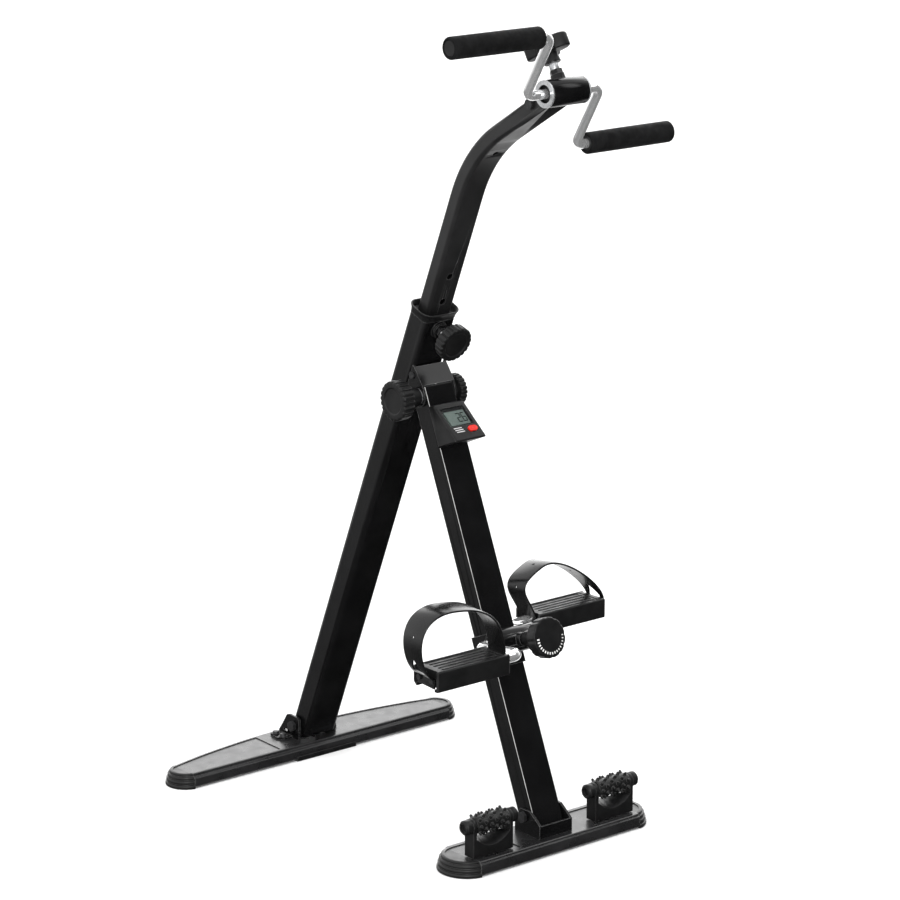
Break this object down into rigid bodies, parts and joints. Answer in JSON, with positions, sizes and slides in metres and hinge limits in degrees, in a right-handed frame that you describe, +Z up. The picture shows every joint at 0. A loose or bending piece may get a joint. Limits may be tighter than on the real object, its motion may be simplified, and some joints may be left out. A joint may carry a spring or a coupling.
{
  "type": "pedal exerciser",
  "caption": "Folding arm and leg pedal exerciser: A-frame with height-adjustable bent mast, hand crank, foot crank with strapped pedals, massage rollers and counter.",
  "frame": {"origin": "on the floor, under the centre of the rear foot, where the rear post's centre line meets it", "axes": "+Z up; X along the crank axles, with the raised hand grip on -X; the user sits on the -Y side, and the front foot is towards -Y"},
  "size_m": [0.482, 0.6114, 1.0505],
  "materials": {
    "gloss_black_paint": "gloss",
    "grey_paint": "satin",
    "black_plastic": "satin",
    "bearing_plastic": "satin",
    "chrome_rod": "polished",
    "zinc_steel": "satin",
    "black_rubber": "matte",
    "foam": "matte",
    "strap_rubber": "satin",
    "friction_lining": "matte",
    "white_print": "matte",
    "smoked_lens": "gloss",
    "lcd": "gloss",
    "red_button": "gloss"
  },
  "bodies": {
    "rear_frame": {"main_post": "gloss_black_paint", "post_collar": "black_plastic", "post_end_plug": "black_plastic", "hinge_bracket": "gloss_black_paint", "hinge_stop_bolt": "zinc_steel", "hinge_bolt": "zinc_steel", "hinge_washers": "zinc_steel", "rear_foot": "grey_paint", "rear_foot_caps": "black_rubber", "rear_foot_pad": "black_rubber", "rear_bracket": "gloss_black_paint", "rear_bracket_bolt": "zinc_steel", "rear_flange_screws": "zinc_steel"},
    "front_leg": {"front_leg": "gloss_black_paint", "leg_top_plug": "black_plastic", "leg_saddle": "gloss_black_paint", "leg_saddle_screws": "zinc_steel", "foot_housing": "gloss_black_paint", "foot_bearings": "bearing_plastic", "foot_friction_shoe": "friction_lining", "front_foot": "gloss_black_paint", "front_foot_caps": "black_rubber", "front_bracket": "gloss_black_paint", "front_bracket_bolt": "zinc_steel", "roller_stands": "black_plastic", "roller_axles": "black_plastic", "console": "black_plastic", "console_lens": "smoked_lens", "console_lcd": "lcd"},
    "mast": {"mast": "gloss_black_paint", "mast_glide": "bearing_plastic", "mast_end_bolt": "zinc_steel", "hand_housing": "gloss_black_paint", "hand_housing_rings": "zinc_steel", "hand_bearings": "bearing_plastic", "hand_friction_shoe": "friction_lining"},
    "hand_crank": {"hand_crank": "chrome_rod"},
    "grip_left": {"grip_left": "foam", "grip_core_left": "bearing_plastic"},
    "grip_right": {"grip_right": "foam", "grip_core_right": "bearing_plastic"},
    "hand_tension_knob": {"hand_tension_knob": "black_plastic", "hand_tension_screw": "zinc_steel"},
    "lock_knob": {"lock_knob": "black_plastic", "lock_screw": "zinc_steel"},
    "hinge_knob_left": {"hinge_knob_left": "black_plastic"},
    "hinge_knob_right": {"hinge_knob_right": "black_plastic"},
    "foot_crank": {"foot_crank": "chrome_rod"},
    "pedal_left": {"pedal_left": "black_plastic", "strap_left": "strap_rubber", "strap_pins_left": "zinc_steel"},
    "pedal_right": {"pedal_right": "black_plastic", "strap_right": "strap_rubber", "strap_pins_right": "zinc_steel"},
    "foot_tension_knob": {"foot_tension_knob": "black_plastic", "foot_knob_dial": "white_print", "foot_tension_screw": "zinc_steel"},
    "roller_left": {"roller_left": "black_rubber"},
    "roller_right": {"roller_right": "black_rubber"},
    "reset_button": {"reset_button": "red_button"}
  },
  "joints": [
    {"name": "leg_fold", "type": "hinge", "parent": "rear_frame", "child": "front_leg", "pos_m": [0, -0.27013, 0.54571], "axis": [1, 0, 0], "range_deg": [0, 38]},
    {"name": "mast_slide", "type": "slide", "parent": "rear_frame", "child": "mast", "axis": [0, -0.3827, 0.9239], "range_m": [-0.0744, 0.0372]},
    {"name": "hand_crank_spin", "type": "hinge", "parent": "mast", "child": "hand_crank", "pos_m": [0, -0.51242, 0.96035], "axis": [1, 0, 0], "continuous": true},
    {"name": "grip_left_spin", "type": "hinge", "parent": "hand_crank", "child": "grip_left", "pos_m": [-0.1467, -0.55852, 1.03706], "axis": [1, 0, 0], "continuous": true},
    {"name": "grip_right_spin", "type": "hinge", "parent": "hand_crank", "child": "grip_right", "pos_m": [0.1467, -0.46632, 0.88363], "axis": [1, 0, 0], "continuous": true},
    {"name": "hand_tension_turn", "type": "hinge", "parent": "mast", "child": "hand_tension_knob", "pos_m": [0, -0.51242, 0.96035], "axis": [0, 0.515, 0.8572], "range_deg": [-180, 540]},
    {"name": "lock_knob_turn", "type": "hinge", "parent": "rear_frame", "child": "lock_knob", "pos_m": [0, -0.27884, 0.63075], "axis": [0, -0.9239, -0.3827], "range_deg": [0, 1080]},
    {"name": "hinge_knob_left_turn", "type": "hinge", "parent": "rear_frame", "child": "hinge_knob_left", "pos_m": [-0.046, -0.27013, 0.54571], "axis": [-1, 0, 0], "range_deg": [0, 1080]},
    {"name": "hinge_knob_right_turn", "type": "hinge", "parent": "rear_frame", "child": "hinge_knob_right", "pos_m": [0.036, -0.27013, 0.54571], "axis": [1, 0, 0], "range_deg": [0, 1080]},
    {"name": "foot_crank_spin", "type": "hinge", "parent": "front_leg", "child": "foot_crank", "pos_m": [0, -0.42568, 0.25642], "axis": [1, 0, 0], "continuous": true},
    {"name": "pedal_left_spin", "type": "hinge", "parent": "foot_crank", "child": "pedal_left", "pos_m": [-0.15, -0.5047, 0.26893], "axis": [1, 0, 0], "continuous": true},
    {"name": "pedal_right_spin", "type": "hinge", "parent": "foot_crank", "child": "pedal_right", "pos_m": [0.15, -0.34667, 0.2439], "axis": [1, 0, 0], "continuous": true},
    {"name": "foot_tension_turn", "type": "hinge", "parent": "front_leg", "child": "foot_tension_knob", "pos_m": [0, -0.42568, 0.25642], "axis": [0, -0.9613, 0.2756], "range_deg": [-180, 540]},
    {"name": "roller_left_spin", "type": "hinge", "parent": "front_leg", "child": "roller_left", "pos_m": [-0.101, -0.49881, 0.06], "axis": [1, 0, 0], "continuous": true},
    {"name": "roller_right_spin", "type": "hinge", "parent": "front_leg", "child": "roller_right", "pos_m": [0.101, -0.49881, 0.06], "axis": [1, 0, 0], "continuous": true},
    {"name": "reset_button_press", "type": "slide", "parent": "front_leg", "child": "reset_button", "axis": [0, 0.6307, -0.776], "range_m": [0, 0.001], "stiffness_N_per_m": 800}
  ]
}
